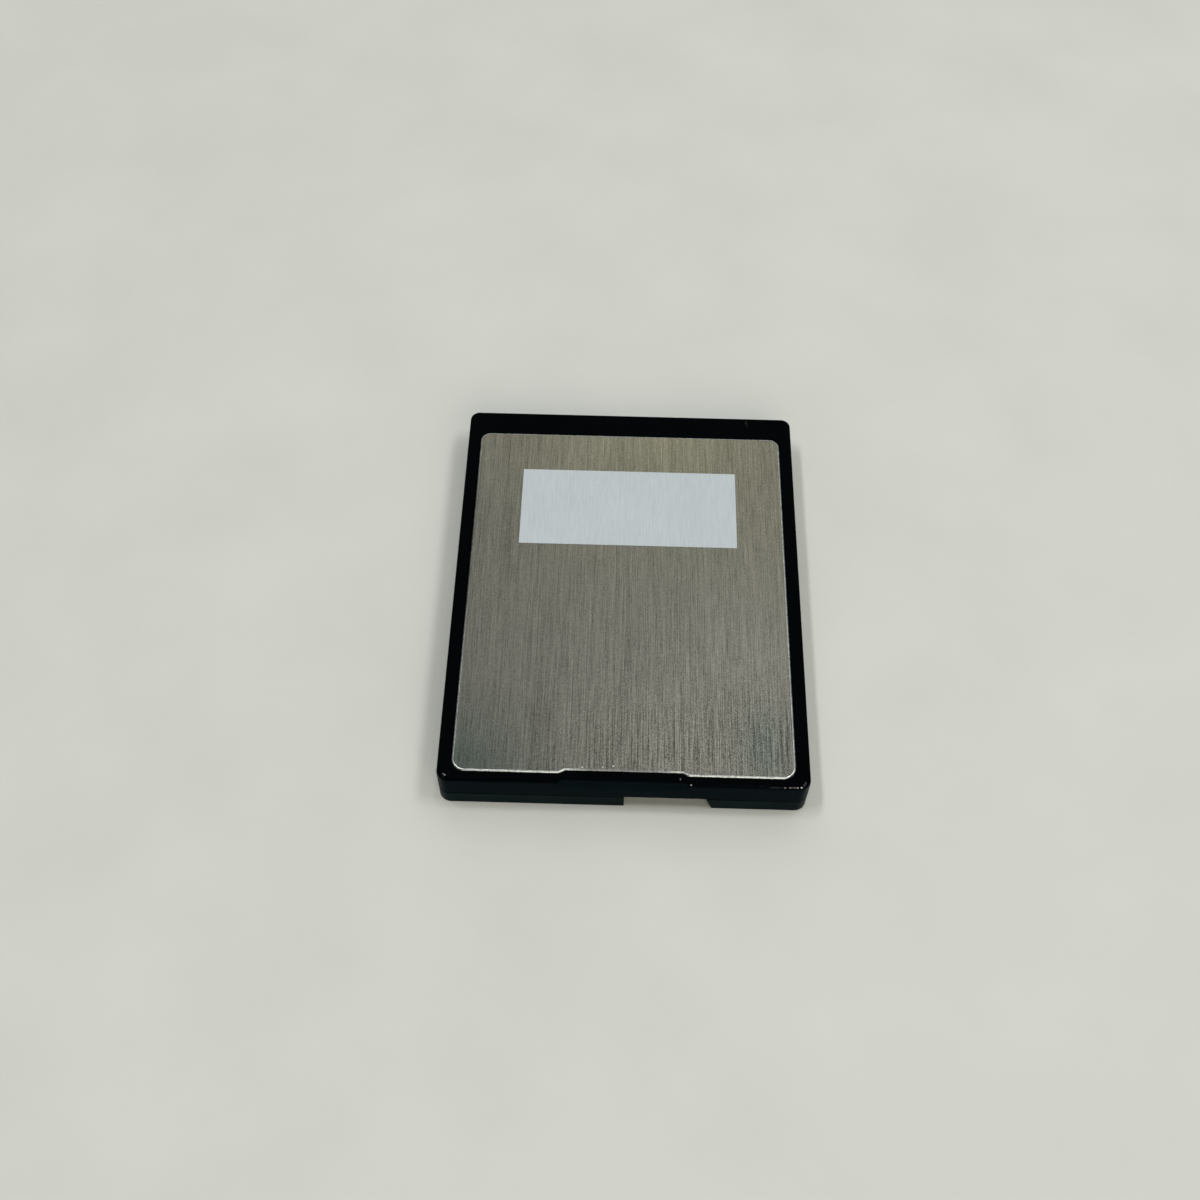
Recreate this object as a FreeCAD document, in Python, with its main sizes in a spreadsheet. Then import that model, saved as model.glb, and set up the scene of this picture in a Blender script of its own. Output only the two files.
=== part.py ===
"""Slim camera memory card, lying on its front face with the steel back cover up.

Millimetres, +Z up. The origin is the middle of the face that the card rests on.
+Y is the end that goes into the camera, -Y is the end that is gripped.
"""
import FreeCAD, Part
import math
import os
import re

import Sketcher

SIZES = {
    # Whole card
    "card_width": 29.8,
    "card_length": 38.5,
    "card_thickness": 3.8,
    "corner_radius": 1.0,
    "far_corner_radius": 0.83,
    "edge_round": 0.26,
    "fit_gap": 0.05,
    # Joint between the two frame mouldings
    "parting_height": 1.55,
    "parting_bevel": 0.1,
    "lower_inset": 0.02,
    "lower_edge_round": 0.06,
    "peg_diameter": 0.8,
    "peg_length": 0.8,
    "peg_inset": 0.75,
    "peg_from_end": 6.0,
    # Steel covers and the film that holds them
    "cover_thickness": 0.25,
    "cover_proud": 0.05,
    "cover_gap": 0.12,
    "cover_corner_radius": 1.1,
    "cover_far_corner_radius": 0.9,
    "cover_edge_round": 0.18,
    "side_border": 1.14,
    "far_border": 2.57,
    "near_border": 0.91,
    "front_near_border": 2.2,
    "film_thickness": 0.05,
    "film_margin": 0.4,
    # Fingernail lip at the grip end and the step in the cover beside it
    "lip_width": 10.3,
    "lip_ramp": 0.5,
    "lip_depth": 0.26,
    "lip_round": 0.22,
    "lip_crest_round": 0.8,
    "lip_slope_depth": 0.27,
    "lip_slope_height": 0.7,
    # Finger notch in the lower frame
    "notch_start": 0.1,
    "notch_width": 7.1,
    "notch_slant": 0.5,
    "notch_depth": 1.0,
    # White panel to write on
    "panel_width": 19.18,
    "panel_length": 8.3,
    "panel_set_back": 4.26,
    "panel_thickness": 0.03,
    # Room inside the frames
    "cavity_side_border": 2.2,
    "cavity_near_border": 2.9,
    "cavity_far_border": 3.7,
    # Circuit board and what is soldered to it
    "board_thickness": 0.7,
    "board_rest": 0.65,
    "board_corner_radius": 0.5,
    "flash_width": 11.0,
    "flash_length": 13.0,
    "flash_height": 0.8,
    "flash_space": 0.4,
    "flash_near_margin": 0.4,
    "chip_edge_bevel": 0.1,
    "mark_diameter": 0.7,
    "mark_depth": 0.05,
    "mark_margin": 0.9,
    "controller_side": 8.0,
    "controller_height": 0.8,
    "controller_offset": 5.4,
    "regulator_side": 3.0,
    "regulator_height": 0.75,
    "regulator_offset": 1.9,
    "inductor_width": 2.5,
    "inductor_length": 2.0,
    "inductor_height": 0.8,
    "inductor_offset": 5.5,
    "crystal_width": 2.0,
    "crystal_length": 1.6,
    "crystal_height": 0.5,
    "crystal_offset": 8.8,
    "capacitor_width": 0.5,
    "capacitor_length": 1.0,
    "capacitor_height": 0.5,
    "capacitor_count": 9,
    "resistor_width": 0.5,
    "resistor_length": 1.0,
    "resistor_height": 0.35,
    "resistor_count": 9,
    "passive_pitch": 1.1,
    "passive_offset": 1.0,
    "part_space": 0.5,
    # Connector at the insertion end
    "housing_height": 2.4,
    "housing_drop": 1.55,
    "housing_depth": 6.05,
    "housing_recess": 0.15,
    "housing_floor": 0.55,
    "housing_roof": 0.45,
    "housing_side": 1.0,
    "housing_back": 1.15,
    "housing_ear": 0.7,
    "mouth_bevel": 0.2,
    "slot_margin": 0.7,
    "key_width": 0.9,
    "key_space": 1.8,
    "contact_pitch": 0.9,
    "power_count": 7,
    "data_count": 11,
    "contact_width": 0.4,
    "contact_thickness": 0.15,
    "contact_bend": 0.35,
    "contact_tail": 1.5,
    "contact_stub": 0.35,
    "contact_dip": 0.6,
    "contact_arm": 2.7,
    "contact_tip_reach": 0.8,
    "contact_tip_rise": 0.3,
}

# Heights worked out from the sizes
COVER_TOP = "(card_thickness - panel_thickness)"
COVER_BOTTOM = f"({COVER_TOP} - cover_thickness)"
COVER_SEAT = f"({COVER_BOTTOM} - film_thickness)"
LEDGE = f"({COVER_TOP} - cover_proud)"
LIP_FOOT = "(card_thickness - lip_slope_height)"
FRONT_SEAT = "(cover_thickness + film_thickness)"
BOARD_TOP = "(parting_height + board_thickness)"
HOUSING_BOTTOM = f"({BOARD_TOP} - housing_drop)"
HOUSING_TOP = f"({HOUSING_BOTTOM} + housing_height)"
SLOT_FLOOR = f"({HOUSING_BOTTOM} + housing_floor)"
SLOT_ROOF = f"({HOUSING_TOP} - housing_roof)"
TAIL_LEVEL = f"({BOARD_TOP} + contact_thickness / 2)"

# Places across the card
HALF_WIDTH = "(card_width / 2)"
COVER_HALF = f"({HALF_WIDTH} - side_border)"
CAVITY_HALF = f"({HALF_WIDTH} - cavity_side_border)"
BOARD_HALF = f"({CAVITY_HALF} + board_rest)"
LIP_HALF = "(lip_width / 2)"
FLASH_OFFSET = "((flash_width + flash_space) / 2)"
PEG_PLACE = f"({HALF_WIDTH} - peg_inset)"
POWER_SPAN = "((power_count - 1) * contact_pitch)"
DATA_SPAN = "((data_count - 1) * contact_pitch)"
CONTACT_HALF = f"(({POWER_SPAN} + key_space + {DATA_SPAN}) / 2)"
FIRST_POWER = f"(0 - {CONTACT_HALF})"
FIRST_DATA = f"({FIRST_POWER} + {POWER_SPAN} + key_space)"
KEY_MIDDLE = f"({FIRST_DATA} - key_space / 2)"
SLOT_HALF = f"({CONTACT_HALF} + slot_margin)"
NOSE_HALF = f"({SLOT_HALF} + housing_side)"
EAR_HALF = f"({NOSE_HALF} + housing_ear)"

# Places along the card
FAR_END = "(card_length / 2)"
NEAR_END = "(0 - card_length / 2)"
COVER_FAR = f"({FAR_END} - far_border)"
COVER_NEAR = f"({NEAR_END} + near_border)"
FRONT_NEAR = f"({NEAR_END} + front_near_border)"
STEP_LINE = f"({COVER_NEAR} + lip_depth)"
PANEL_FAR = f"({COVER_FAR} - panel_set_back)"
CAVITY_FAR = f"({FAR_END} - cavity_far_border)"
CAVITY_NEAR = f"({NEAR_END} + cavity_near_border)"
HOUSING_FRONT = f"({FAR_END} - housing_recess)"
HOUSING_REAR = f"({HOUSING_FRONT} - housing_depth)"
EAR_FRONT = f"({CAVITY_FAR} - fit_gap)"
SLOT_BACK = f"({HOUSING_REAR} + housing_back)"
BOARD_FAR = f"({HOUSING_REAR} - fit_gap)"
BOARD_NEAR = f"({CAVITY_NEAR} - board_rest)"
PEG_LINE = f"({FAR_END} - peg_from_end)"
FLASH_MIDDLE = f"({CAVITY_NEAR} + flash_near_margin + flash_length / 2)"
TAIL_END = f"({HOUSING_REAR} - contact_tail)"
PARTS_FAR = f"({TAIL_END} - part_space)"
RESISTOR_ROW = f"({PARTS_FAR} - resistor_length / 2)"
CAPACITOR_ROW = f"({PARTS_FAR} - resistor_length - part_space - capacitor_length / 2)"
POWER_ROW = f"({CAPACITOR_ROW} - capacitor_length / 2 - part_space - regulator_side / 2)"
CONTACT_KNEE = f"({SLOT_BACK} + contact_stub)"
CONTACT_APEX = f"({CONTACT_KNEE} + contact_arm)"
APEX_LEVEL = f"({TAIL_LEVEL} - contact_dip)"

# How a sketch names its own origin, its axes and the ends of a line or arc
START, END, MIDDLE = range(1, 4)
ORIGIN = -START
AXES = {"DistanceX": -2, "DistanceY": -1}
UP = FreeCAD.Vector(0, 0, 1)
TOUCH = 1e-5

doc = FreeCAD.newDocument("MemoryCard")
sheet = doc.addObject("Spreadsheet::Sheet", "Sizes")
for row, (alias, size) in enumerate(SIZES.items(), start=1):
    sheet.set(f"A{row}", alias)
    sheet.set(f"B{row}", str(size))
    sheet.setAlias(f"B{row}", alias)
doc.recompute()


def linked(text):
    """Gives an expression in which each size name points at its cell."""
    return re.sub(r"[a-z_]+", lambda word: f"Sizes.{word.group()}", text)


def value(text):
    """Works out an expression of size names, in millimetres."""
    return float(sheet.evalExpression(linked(text)))


def new_body(label):
    """Starts a sub-part at the card's own origin."""
    body = doc.addObject("PartDesign::Body", label)
    body.Label = label
    body.Placement = FreeCAD.Placement()
    return body


def datum(body, role):
    """Finds one of a body's own origin planes or axes."""
    return next(item for item in body.Origin.OriginFeatures if item.Role == role)


def sketch_at(body, name, plane, place):
    """Makes a sketch parallel to an origin plane, at a distance along the card's own axis."""
    sketch = body.newObject("Sketcher::SketchObject", name)
    sketch.AttachmentSupport = [(datum(body, plane), "")]
    sketch.MapMode = "FlatFace"
    sign = "-1 * " if plane == "XZ_Plane" else ""
    sketch.setExpression("AttachmentOffset.Base.z", sign + linked(place))
    return sketch


def hold(sketch, kind, item, end, text):
    """Ties one coordinate of a sketch point to the sheet."""
    size = value(text)
    if abs(size) < TOUCH:
        sketch.addConstraint(Sketcher.Constraint("PointOnObject", item, end, AXES[kind]))
        return
    pair = (ORIGIN, START, item, end) if size > 0 else (item, end, ORIGIN, START)
    number = sketch.addConstraint(Sketcher.Constraint(kind, *pair, abs(size)))
    sign = "" if size > 0 else "-1 * "
    sketch.setExpression(f"Constraints[{number}]", sign + linked(text))


def hold_point(sketch, item, end, corner):
    """Ties both coordinates of a sketch point to the sheet."""
    hold(sketch, "DistanceX", item, end, corner[0])
    hold(sketch, "DistanceY", item, end, corner[1])


def bend(place, before, after, radius):
    """Gives the arc that rounds a corner, where it starts and ends, and which way it turns."""
    back = (before - place).normalize()
    ahead = (after - place).normalize()
    half = back.getAngle(ahead) / 2
    centre = place + (back + ahead).normalize() * (radius / math.sin(half))
    entry = place + back * (radius / math.tan(half))
    leave = place + ahead * (radius / math.tan(half))
    left_turn = ahead.cross(back).z > 0
    first, last = (entry, leave) if left_turn else (leave, entry)
    start, stop = (math.atan2((p - centre).y, (p - centre).x) for p in (first, last))
    if stop < start:
        stop += 2 * math.pi
    arc = Part.ArcOfCircle(Part.Circle(centre, UP, radius), start, stop)
    return arc, entry, leave, left_turn


def outline(sketch, corners, closed=True):
    """Draws straight runs through corners, each (across, along) with a radius if it is round."""
    places = [FreeCAD.Vector(value(corner[0]), value(corner[1]), 0) for corner in corners]
    count = len(corners)
    bends = {}
    for index, corner in enumerate(corners):
        if len(corner) > 2:
            before, after = places[index - 1], places[(index + 1) % count]
            bends[index] = bend(places[index], before, after, value(corner[2]))
    entries = [bends[i][1] if i in bends else places[i] for i in range(count)]
    leaves = [bends[i][2] if i in bends else places[i] for i in range(count)]
    run_count = count if closed else count - 1
    for index in range(run_count):
        run = Part.LineSegment(leaves[index], entries[(index + 1) % count])
        sketch.addGeometry(run, False)
    for index, corner in enumerate(corners):
        if not closed and index == count - 1:
            hold_point(sketch, index - 1, END, corner)
            continue
        incoming = (index - 1) % run_count
        if index not in bends:
            if closed or index > 0:
                sketch.addConstraint(Sketcher.Constraint("Coincident", incoming, END, index, START))
            hold_point(sketch, index, START, corner)
            continue
        arc, _, _, left_turn = bends[index]
        entry_end, leave_end = (START, END) if left_turn else (END, START)
        item = sketch.addGeometry(arc, False)
        sketch.addConstraint(Sketcher.Constraint("Tangent", incoming, END, item, entry_end))
        sketch.addConstraint(Sketcher.Constraint("Tangent", item, leave_end, index, START))
        number = sketch.addConstraint(Sketcher.Constraint("Radius", item, value(corner[2])))
        sketch.setExpression(f"Constraints[{number}]", linked(corner[2]))
        vertex = sketch.addGeometry(Part.Point(places[index]), True)
        sketch.addConstraint(Sketcher.Constraint("PointOnObject", vertex, START, incoming))
        sketch.addConstraint(Sketcher.Constraint("PointOnObject", vertex, START, index))
        hold_point(sketch, vertex, START, corner)


def discs(sketch, centres, diameter):
    """Draws circles of one diameter at centres given as pairs of expressions."""
    for centre in centres:
        middle = FreeCAD.Vector(value(centre[0]), value(centre[1]), 0)
        circle = Part.Circle(middle, UP, value(diameter) / 2)
        item = sketch.addGeometry(circle, False)
        hold_point(sketch, item, MIDDLE, centre)
        number = sketch.addConstraint(Sketcher.Constraint("Diameter", item, value(diameter)))
        sketch.setExpression(f"Constraints[{number}]", linked(diameter))


def rectangle(left, right, near, far, near_radius=None, far_radius=None):
    """Gives the corners of a rectangle, the near and the far pair round if their radii are named."""
    corners = [(left, near, near_radius), (right, near, near_radius)]
    corners += [(right, far, far_radius), (left, far, far_radius)]
    return [corner if corner[2] else corner[:2] for corner in corners]


def centred(half, near, far, near_radius=None, far_radius=None):
    """Gives the corners of a rectangle that is centred across the card."""
    return rectangle(f"(0 - {half})", half, near, far, near_radius, far_radius)


def block(left, near, width, length):
    """Gives the corners of a rectangle about a middle place."""
    across = (f"({left} - {width} / 2)", f"({left} + {width} / 2)")
    along = (f"({near} - {length} / 2)", f"({near} + {length} / 2)")
    return rectangle(*across, *along)


def finish_feature(body, feature, before, grows):
    """Recomputes and checks that a feature added or took away material."""
    body.Tip = feature
    doc.recompute()
    change = feature.Shape.Volume - before
    if feature.Shape.isNull() or (change > 0) != grows or abs(change) < TOUCH:
        raise RuntimeError(f"{body.Label}: {feature.Label} changed the volume by {change}")
    return feature


def grow(body, name, sketch, length, plane="XY_Plane"):
    """Pads a sketch along the card's own positive axis."""
    before = body.Shape.Volume if body.Tip else 0
    feature = body.newObject("PartDesign::Pad", name)
    feature.Profile = sketch
    feature.Reversed = plane == "XZ_Plane"
    feature.setExpression("Length", linked(length))
    return finish_feature(body, feature, before, grows=True)


def cut(body, name, sketch, length, plane="XY_Plane"):
    """Pockets a sketch along the card's own positive axis."""
    before = body.Shape.Volume
    feature = body.newObject("PartDesign::Pocket", name)
    feature.Profile = sketch
    feature.Reversed = plane != "XZ_Plane"
    feature.setExpression("Length", linked(length))
    return finish_feature(body, feature, before, grows=False)


def add_between(body, name, corners, low, high, plane="XY_Plane"):
    """Adds an outline between two places along an axis."""
    sketch = sketch_at(body, f"{name}_outline", plane, low)
    outline(sketch, corners)
    return grow(body, name, sketch, f"({high} - {low})", plane)


def cut_between(body, name, corners, low, high, plane="XY_Plane"):
    """Removes an outline between two places along an axis."""
    sketch = sketch_at(body, f"{name}_outline", plane, low)
    outline(sketch, corners)
    return cut(body, name, sketch, f"({high} - {low})", plane)


def edges_between(feature, low, high):
    """Names the edges of a feature that lie between two heights."""
    low_height, high_height = value(low) - TOUCH, value(high) + TOUCH
    names = []
    for number, edge in enumerate(feature.Shape.Edges, start=1):
        box = edge.BoundBox
        if box.ZMin > low_height and box.ZMax < high_height:
            names.append(f"Edge{number}")
    return names


def round_edges(body, name, feature, names, radius):
    """Rounds chosen edges of a feature."""
    rounding = body.newObject("PartDesign::Fillet", name)
    rounding.Base = (feature, names)
    rounding.setExpression("Radius", linked(radius))
    body.Tip = rounding
    doc.recompute()
    return rounding


def bevel_edges(body, name, feature, names, size):
    """Bevels chosen edges of a feature at 45 degrees."""
    bevelled = body.newObject("PartDesign::Chamfer", name)
    bevelled.Base = (feature, names)
    bevelled.setExpression("Size", linked(size))
    body.Tip = bevelled
    doc.recompute()
    return bevelled


def repeat_across(body, name, feature, pitch, count):
    """Repeats a feature across the card at an even pitch."""
    pattern = body.newObject("PartDesign::LinearPattern", name)
    pattern.Originals = [feature]
    pattern.Direction = (datum(body, "X_Axis"), [""])
    pattern.setExpression("Length", linked(f"({count} - 1) * {pitch}"))
    pattern.setExpression("Occurrences", linked(count))
    body.Tip = pattern
    doc.recompute()
    return pattern


def stepped_cover(gap):
    """Gives the back cover's outline with its step beside the lip, grown by a gap."""
    half = f"({COVER_HALF} + {gap})"
    near = f"({COVER_NEAR} - {gap})"
    far = f"({COVER_FAR} + {gap})"
    step = f"({STEP_LINE} - {gap})"
    mouth = f"({LIP_HALF} - {gap})"
    crest = f"({LIP_HALF} - lip_ramp - {gap})"
    corner = f"(cover_corner_radius + {gap})"
    far_corner = f"(cover_far_corner_radius + {gap})"
    return [
        (f"(0 - {half})", near, corner),
        (f"(0 - {mouth})", near, "lip_round"),
        (f"(0 - {crest})", step, "lip_round"),
        (crest, step, "lip_round"),
        (mouth, near, "lip_round"),
        (half, near, corner),
        (half, far, far_corner),
        (f"(0 - {half})", far, far_corner),
    ]


def front_outline(gap):
    """Gives the front cover's outline, grown by a gap."""
    half = f"({COVER_HALF} + {gap})"
    near = f"({FRONT_NEAR} - {gap})"
    far = f"({COVER_FAR} + {gap})"
    return centred(half, near, far, f"(cover_corner_radius + {gap})", f"(cover_far_corner_radius + {gap})")


def peg_places():
    """Gives the middles of the four pegs that locate the frames on each other."""
    return [(f"({x} * {PEG_PLACE})", f"({y} * {PEG_LINE})") for x in (-1, 1) for y in (-1, 1)]


def make_back_cover():
    """Steel back cover with rolled top edges and a step for the lip."""
    body = new_body("back_cover")
    plate = add_between(body, "plate", stepped_cover("0"), COVER_BOTTOM, COVER_TOP)
    round_edges(body, "rolled_edge", plate, edges_between(plate, COVER_TOP, COVER_TOP), "cover_edge_round")
    return body


def make_front_cover():
    """Plain steel front cover with rolled edges, flush with the frame's lower face."""
    body = new_body("front_cover")
    plate = add_between(body, "plate", front_outline("0"), "0", "cover_thickness")
    round_edges(body, "rolled_edge", plate, edges_between(plate, "0", "0"), "cover_edge_round")
    return body


def make_film(label, near, low):
    """Ring of adhesive film between a cover and its seat in the frame."""
    body = new_body(label)
    half = f"({COVER_HALF} - film_margin)"
    outer = centred(half, f"({near} + film_margin)", f"({COVER_FAR} - film_margin)")
    high = f"({low} + film_thickness)"
    add_between(body, "sheet", outer, low, high)
    window = centred(CAVITY_HALF, CAVITY_NEAR, CAVITY_FAR)
    cut_between(body, "window", window, low, high)
    return body


def make_write_on_panel():
    """Thin white panel printed on the back cover."""
    body = new_body("write_on_panel")
    near = f"({PANEL_FAR} - panel_length)"
    add_between(body, "print", centred("(panel_width / 2)", near, PANEL_FAR), COVER_TOP, "card_thickness")
    return body


def add_lip(body):
    """Adds the raised fingernail lip with ramped ends and a sloping front."""
    crest = f"({LIP_HALF} - lip_ramp)"
    section = [
        (f"(0 - {LIP_HALF})", LIP_FOOT),
        (LIP_HALF, LIP_FOOT),
        (LIP_HALF, LEDGE),
        (crest, "card_thickness", "lip_crest_round"),
        (f"(0 - {crest})", "card_thickness", "lip_crest_round"),
        (f"(0 - {LIP_HALF})", LEDGE),
    ]
    add_between(body, "lip", section, NEAR_END, STEP_LINE, "XZ_Plane")
    slope = [
        (NEAR_END, LIP_FOOT),
        (f"({NEAR_END} + lip_slope_depth)", "card_thickness"),
        (NEAR_END, "card_thickness"),
    ]
    cut_between(body, "lip_slope", slope, f"(0 - {LIP_HALF})", LIP_HALF, "YZ_Plane")


def make_upper_frame():
    """Upper frame moulding: round rim, cover seat, lip, board pocket, connector opening and pegs."""
    body = new_body("upper_frame")
    outer = centred(HALF_WIDTH, NEAR_END, FAR_END, "corner_radius", "far_corner_radius")
    rim = add_between(body, "rim", outer, "parting_height", LEDGE)
    top = round_edges(body, "round_rim", rim, edges_between(rim, LEDGE, LEDGE), "edge_round")
    lower_edges = edges_between(top, "parting_height", "parting_height")
    bevel_edges(body, "parting_edge", top, lower_edges, "parting_bevel")
    add_lip(body)
    cut_between(body, "cover_seat", stepped_cover("cover_gap"), COVER_SEAT, "card_thickness")
    cavity = centred(CAVITY_HALF, CAVITY_NEAR, CAVITY_FAR)
    cut_between(body, "cavity", cavity, "parting_height", COVER_SEAT)
    pocket = centred(f"({BOARD_HALF} + fit_gap)", f"({BOARD_NEAR} - fit_gap)", f"({BOARD_FAR} + fit_gap)")
    cut_between(body, "board_pocket", pocket, "parting_height", BOARD_TOP)
    opening = centred(f"({NOSE_HALF} + fit_gap)", CAVITY_FAR, FAR_END)
    cut_between(body, "connector_opening", opening, "parting_height", f"({HOUSING_TOP} + fit_gap)")
    sketch = sketch_at(body, "peg_circles", "XY_Plane", "(parting_height - peg_length)")
    discs(sketch, peg_places(), "peg_diameter")
    grow(body, "pegs", sketch, "peg_length")
    return body


def make_lower_frame():
    """Lower frame moulding: front cover seat, peg sockets, connector sill and finger notch."""
    body = new_body("lower_frame")
    half = f"({HALF_WIDTH} - lower_inset)"
    near, far = f"({NEAR_END} + lower_inset)", f"({FAR_END} - lower_inset)"
    outer = centred(half, near, far, "(corner_radius - lower_inset)", "(far_corner_radius - lower_inset)")
    rim = add_between(body, "rim", outer, "0", "parting_height")
    round_edges(body, "round_rim", rim, edges_between(rim, "0", "0"), "lower_edge_round")
    cut_between(body, "cover_seat", front_outline("cover_gap"), "0", FRONT_SEAT)
    cut_between(body, "cavity", centred(CAVITY_HALF, CAVITY_NEAR, CAVITY_FAR), FRONT_SEAT, "parting_height")
    opening = centred(f"({NOSE_HALF} + fit_gap)", CAVITY_FAR, FAR_END)
    cut_between(body, "connector_sill", opening, HOUSING_BOTTOM, "parting_height")
    foot_end = "(notch_start + notch_width)"
    notch = [
        ("notch_start", "0"),
        (foot_end, "0"),
        (f"({foot_end} - notch_slant)", "parting_height"),
        ("notch_start", "parting_height"),
    ]
    cut_between(body, "finger_notch", notch, NEAR_END, f"({NEAR_END} + notch_depth)", "XZ_Plane")
    socket_depth = "(peg_length + fit_gap)"
    sketch = sketch_at(body, "socket_circles", "XY_Plane", f"(parting_height - {socket_depth})")
    discs(sketch, peg_places(), "(peg_diameter + 2 * fit_gap)")
    cut(body, "peg_sockets", sketch, socket_depth)
    return body


def make_circuit_board():
    """Circuit board, clamped between the two frames with its far edge at the connector."""
    body = new_body("circuit_board")
    corners = centred(BOARD_HALF, BOARD_NEAR, BOARD_FAR, "board_corner_radius", "board_corner_radius")
    add_between(body, "laminate", corners, "parting_height", BOARD_TOP)
    return body


def make_chip(label, middle, size, top_side=True):
    """Chip package flat on the board, with bevelled outer edges and a round mark at one corner.

    middle holds the place across and along, and size the width, length and height.
    """
    body = new_body(label)
    across, along = middle
    width, length, height = size
    low = BOARD_TOP if top_side else f"(parting_height - {height})"
    high = f"({low} + {height})"
    outer = high if top_side else low
    case = add_between(body, "case", block(across, along, width, length), low, high)
    bevel_edges(body, "case_bevel", case, edges_between(case, outer, outer), "chip_edge_bevel")
    mark_low = f"({high} - mark_depth)" if top_side else low
    sketch = sketch_at(body, "mark_circle", "XY_Plane", mark_low)
    mark = (f"({across} - {width} / 2 + mark_margin)", f"({along} + {length} / 2 - mark_margin)")
    discs(sketch, [mark], "mark_diameter")
    cut(body, "corner_mark", sketch, "mark_depth")
    return body


def make_flash_packages():
    """Four flash memory packages, two on each side of the board."""
    size = ("flash_width", "flash_length", "flash_height")
    bodies = []
    for side, top_side in (("back", True), ("front", False)):
        for hand, sign in (("left", -1), ("right", 1)):
            middle = (f"({sign} * {FLASH_OFFSET})", FLASH_MIDDLE)
            bodies.append(make_chip(f"flash_{side}_{hand}", middle, size, top_side))
    return bodies


def make_plain_part(label, across, size):
    """Small soldered part with bevelled top edges, in the power row."""
    body = new_body(label)
    width, length, height = size
    high = f"({BOARD_TOP} + {height})"
    case = add_between(body, "case", block(across, POWER_ROW, width, length), BOARD_TOP, high)
    bevel_edges(body, "case_bevel", case, edges_between(case, high, high), "chip_edge_bevel")
    return body


def make_passives(label, kind, along):
    """Row of like capacitors or resistors, each a solid of its own."""
    body = new_body(label)
    high = f"({BOARD_TOP} + {kind}_height)"
    corners = block("passive_offset", along, f"{kind}_width", f"{kind}_length")
    first = add_between(body, "first", corners, BOARD_TOP, high)
    repeat_across(body, "row", first, "passive_pitch", f"{kind}_count")
    return body


def make_connector_housing():
    """Connector housing: eared block behind the frame wall, keyed double slot and contact channels."""
    body = new_body("connector_housing")
    add_between(body, "block", centred(EAR_HALF, HOUSING_REAR, EAR_FRONT), HOUSING_BOTTOM, HOUSING_TOP)
    add_between(body, "nose", centred(NOSE_HALF, EAR_FRONT, HOUSING_FRONT), HOUSING_BOTTOM, HOUSING_TOP)
    rooms = {
        "power_slot": (f"(0 - {SLOT_HALF})", f"({KEY_MIDDLE} - key_width / 2)"),
        "data_slot": (f"({KEY_MIDDLE} + key_width / 2)", SLOT_HALF),
    }
    for name, (left, right) in rooms.items():
        mouth = rectangle(left, right, SLOT_FLOOR, SLOT_ROOF)
        slot = cut_between(body, name, mouth, SLOT_BACK, HOUSING_FRONT, "XZ_Plane")
    front = value(HOUSING_FRONT) - TOUCH
    floor, roof = value(SLOT_FLOOR) - TOUCH, value(SLOT_ROOF) + TOUCH
    rims = []
    for number, edge in enumerate(slot.Shape.Edges, start=1):
        box = edge.BoundBox
        in_slot = box.ZMin > floor and box.ZMax < roof and box.YMin > front
        if in_slot:
            rims.append(f"Edge{number}")
    bevel_edges(body, "mouth", slot, rims, "mouth_bevel")
    half = "(contact_width / 2 + fit_gap)"
    low, high = BOARD_TOP, f"({BOARD_TOP} + contact_thickness + fit_gap)"
    for name, first, count in (("power", FIRST_POWER, "power_count"), ("data", FIRST_DATA, "data_count")):
        channel = rectangle(f"({first} - {half})", f"({first} + {half})", low, high)
        passage = cut_between(body, f"{name}_channel", channel, HOUSING_REAR, SLOT_BACK, "XZ_Plane")
        repeat_across(body, f"{name}_channels", passage, "contact_pitch", count)
    return body


def make_contacts(label, first, count):
    """Row of formed spring contacts: soldered tail, straight root, dipping arm and turned-up tip."""
    body = new_body(label)
    spine = sketch_at(body, "bend_line", "YZ_Plane", first)
    path = [
        (TAIL_END, TAIL_LEVEL),
        (CONTACT_KNEE, TAIL_LEVEL, "contact_bend"),
        (CONTACT_APEX, APEX_LEVEL, "contact_bend"),
        (f"({CONTACT_APEX} + contact_tip_reach)", f"({APEX_LEVEL} + contact_tip_rise)"),
    ]
    outline(spine, path, closed=False)
    section = sketch_at(body, "strip_section", "XZ_Plane", TAIL_END)
    outline(section, block(first, TAIL_LEVEL, "contact_width", "contact_thickness"))
    doc.recompute()
    strip = body.newObject("PartDesign::AdditivePipe", "strip")
    strip.Profile = section
    strip.Spine = (spine, [])
    finish_feature(body, strip, 0, grows=True)
    repeat_across(body, "contact_row", strip, "contact_pitch", count)
    return body


def make_all():
    """Makes every sub-part of the card."""
    controller_middle = f"({PARTS_FAR} - controller_side / 2)"
    return [
        make_back_cover(),
        make_write_on_panel(),
        make_film("back_film", COVER_NEAR, COVER_SEAT),
        make_upper_frame(),
        make_lower_frame(),
        make_film("front_film", FRONT_NEAR, "cover_thickness"),
        make_front_cover(),
        make_circuit_board(),
        *make_flash_packages(),
        make_chip("controller_chip", ("(0 - controller_offset)", controller_middle),
                  ("controller_side", "controller_side", "controller_height")),
        make_chip("voltage_regulator", ("regulator_offset", POWER_ROW),
                  ("regulator_side", "regulator_side", "regulator_height")),
        make_plain_part("power_inductor", "inductor_offset",
                        ("inductor_width", "inductor_length", "inductor_height")),
        make_plain_part("clock_crystal", "crystal_offset",
                        ("crystal_width", "crystal_length", "crystal_height")),
        make_passives("ceramic_capacitors", "capacitor", CAPACITOR_ROW),
        make_passives("chip_resistors", "resistor", RESISTOR_ROW),
        make_connector_housing(),
        make_contacts("power_contacts", FIRST_POWER, "power_count"),
        make_contacts("data_contacts", FIRST_DATA, "data_count"),
    ]


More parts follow.
